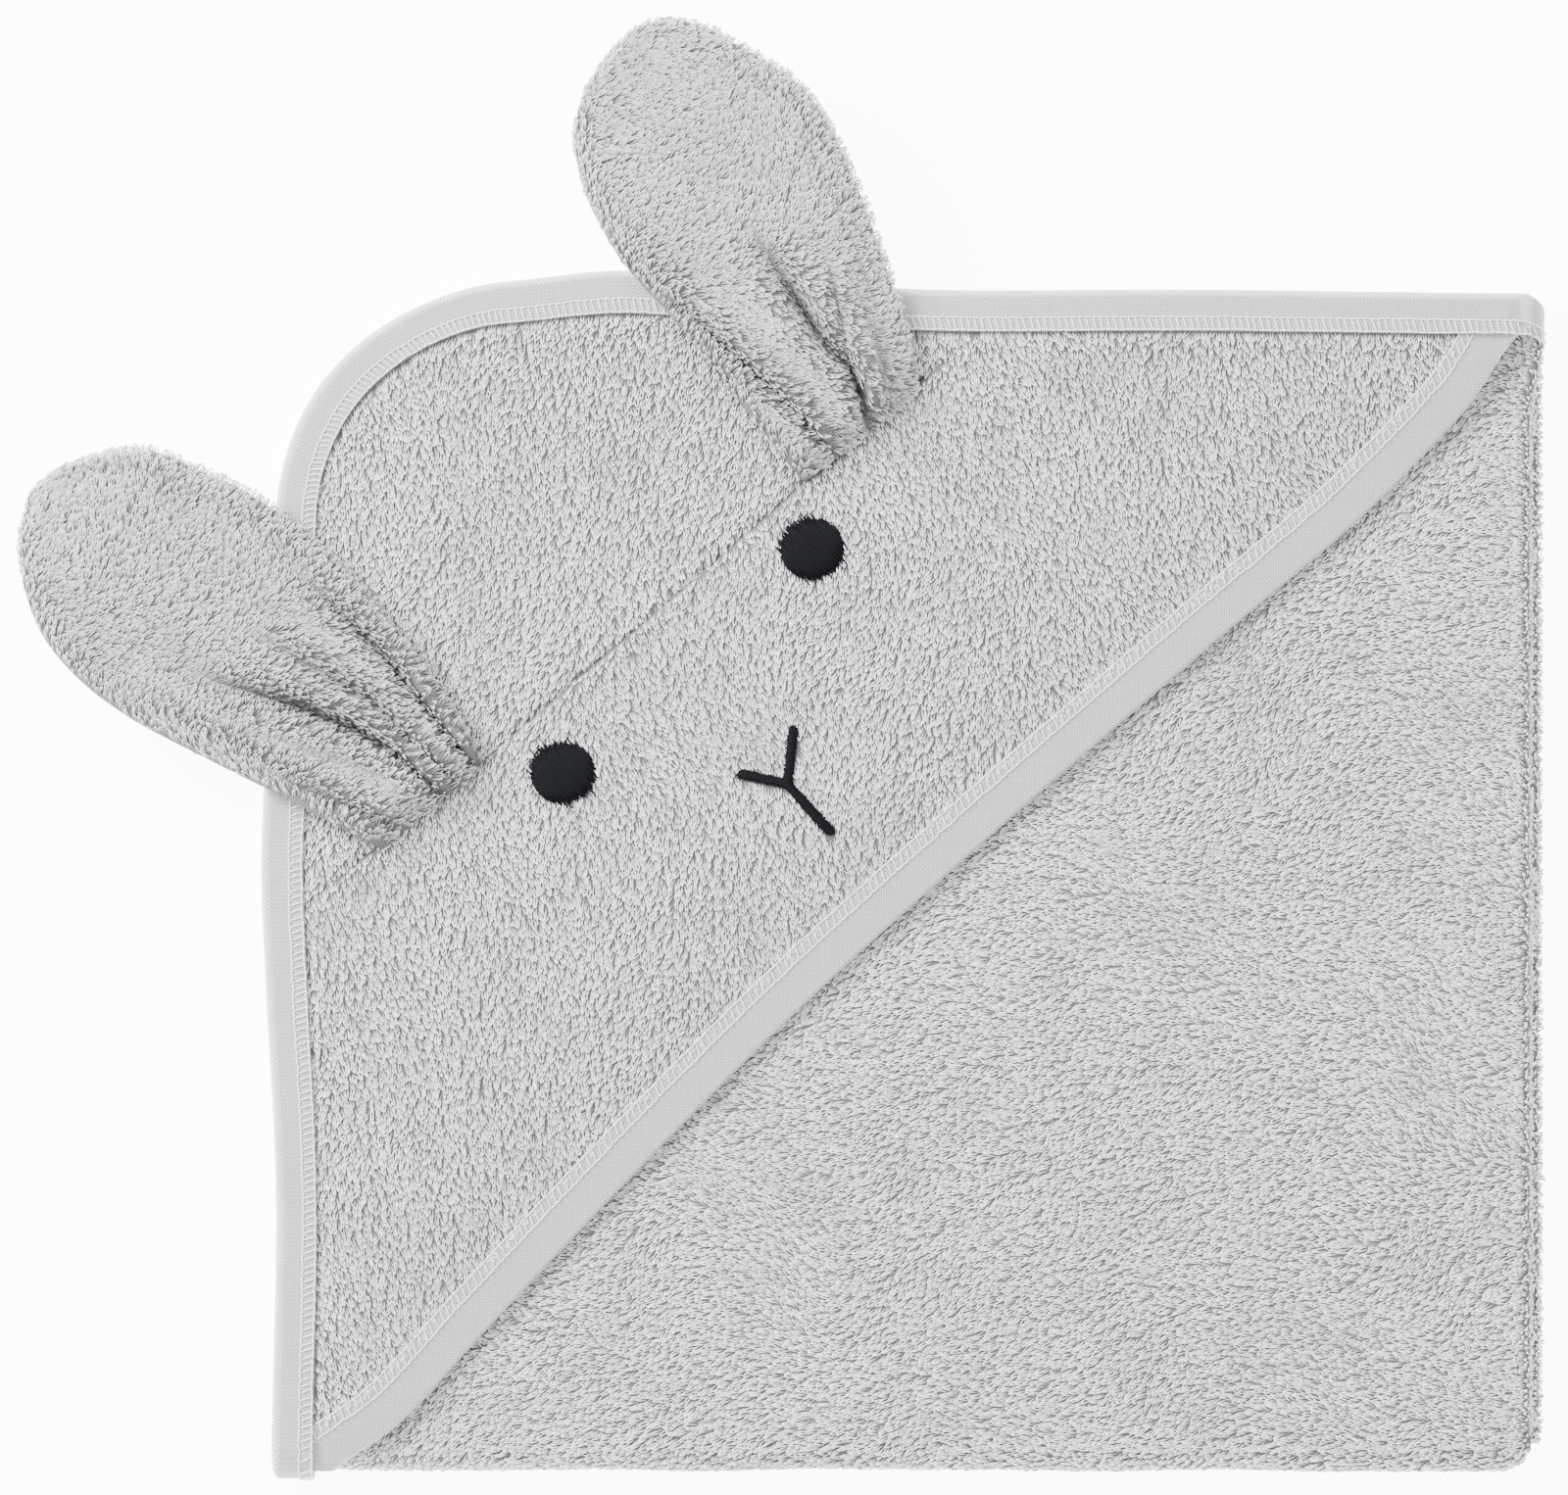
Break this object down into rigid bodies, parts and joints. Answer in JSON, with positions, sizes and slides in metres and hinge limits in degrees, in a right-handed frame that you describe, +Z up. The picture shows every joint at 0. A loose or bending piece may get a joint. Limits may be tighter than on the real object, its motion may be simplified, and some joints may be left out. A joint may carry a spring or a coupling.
{
  "type": "hooded baby towel",
  "caption": "Hooded baby towel folded flat in quarters, with a sewn-on hood, floppy ears, an embroidered animal face and tape-bound edges.",
  "frame": {"origin": "middle of the folded packet's underside, on the lowest layer of terry", "axes": "+Z up out of the packet, through its thinnest extent; +Y from the end fold to the taped top edge; +X from the taped left edge to the side fold"},
  "size_m": [0.4518, 0.4329, 0.0291],
  "materials": {
    "terry": "looped terry pile, matt",
    "binding_tape": "plain woven cotton tape, matt",
    "white_thread": "sewing thread, slight sheen",
    "black_thread": "satin-stitch embroidery thread"
  },
  "bodies": {
    "back_half": {"towel_layer_4": "terry", "towel_layer_3": "terry", "tape_top_3": "binding_tape", "tape_corner_3": "binding_tape", "tape_left_3": "binding_tape", "tape_top_4": "binding_tape", "tape_corner_4": "binding_tape", "tape_left_4": "binding_tape", "side_fold_lower": "terry", "tape_side_fold_lower": "binding_tape", "end_fold_inner": "terry", "end_fold_outer": "terry", "tape_end_fold_inner": "binding_tape", "tape_end_fold_outer": "binding_tape"},
    "front_half": {"towel_layer_1": "terry", "towel_layer_2": "terry", "tape_top_1": "binding_tape", "tape_corner_1": "binding_tape", "tape_left_1": "binding_tape", "tape_top_2": "binding_tape", "tape_corner_2": "binding_tape", "tape_left_2": "binding_tape", "side_fold_upper": "terry", "tape_side_fold_upper": "binding_tape", "hood_crown": "terry", "hood_face": "terry", "hood_mouth_tape": "binding_tape", "stitching_mouth": "white_thread", "stitching_top": "white_thread", "stitching_corner": "white_thread", "stitching_left": "white_thread", "left_eye": "black_thread", "right_eye": "black_thread", "nose": "black_thread"},
    "left_ear": {"left_ear_front": "terry", "left_ear_back": "terry"},
    "right_ear": {"right_ear_front": "terry", "right_ear_back": "terry"}
  },
  "joints": [
    {"name": "unfold", "type": "hinge", "parent": "back_half", "child": "front_half", "pos_m": [0, -0.1745, 0.0146], "axis": [1, 0, 0], "range_deg": [0, 180], "deforming": ["end_fold_inner", "end_fold_outer", "tape_end_fold_inner", "tape_end_fold_outer"]},
    {"name": "left_ear_flop", "type": "hinge", "parent": "front_half", "child": "left_ear", "pos_m": [-0.14076, 0.02353, 0.0267], "axis": [0.7574, 0.6529, 0], "range_deg": [0, 170]},
    {"name": "right_ear_flop", "type": "hinge", "parent": "front_half", "child": "right_ear", "pos_m": [-0.01484, 0.13207, 0.0267], "axis": [0.7574, 0.6529, 0], "range_deg": [0, 170]}
  ]
}
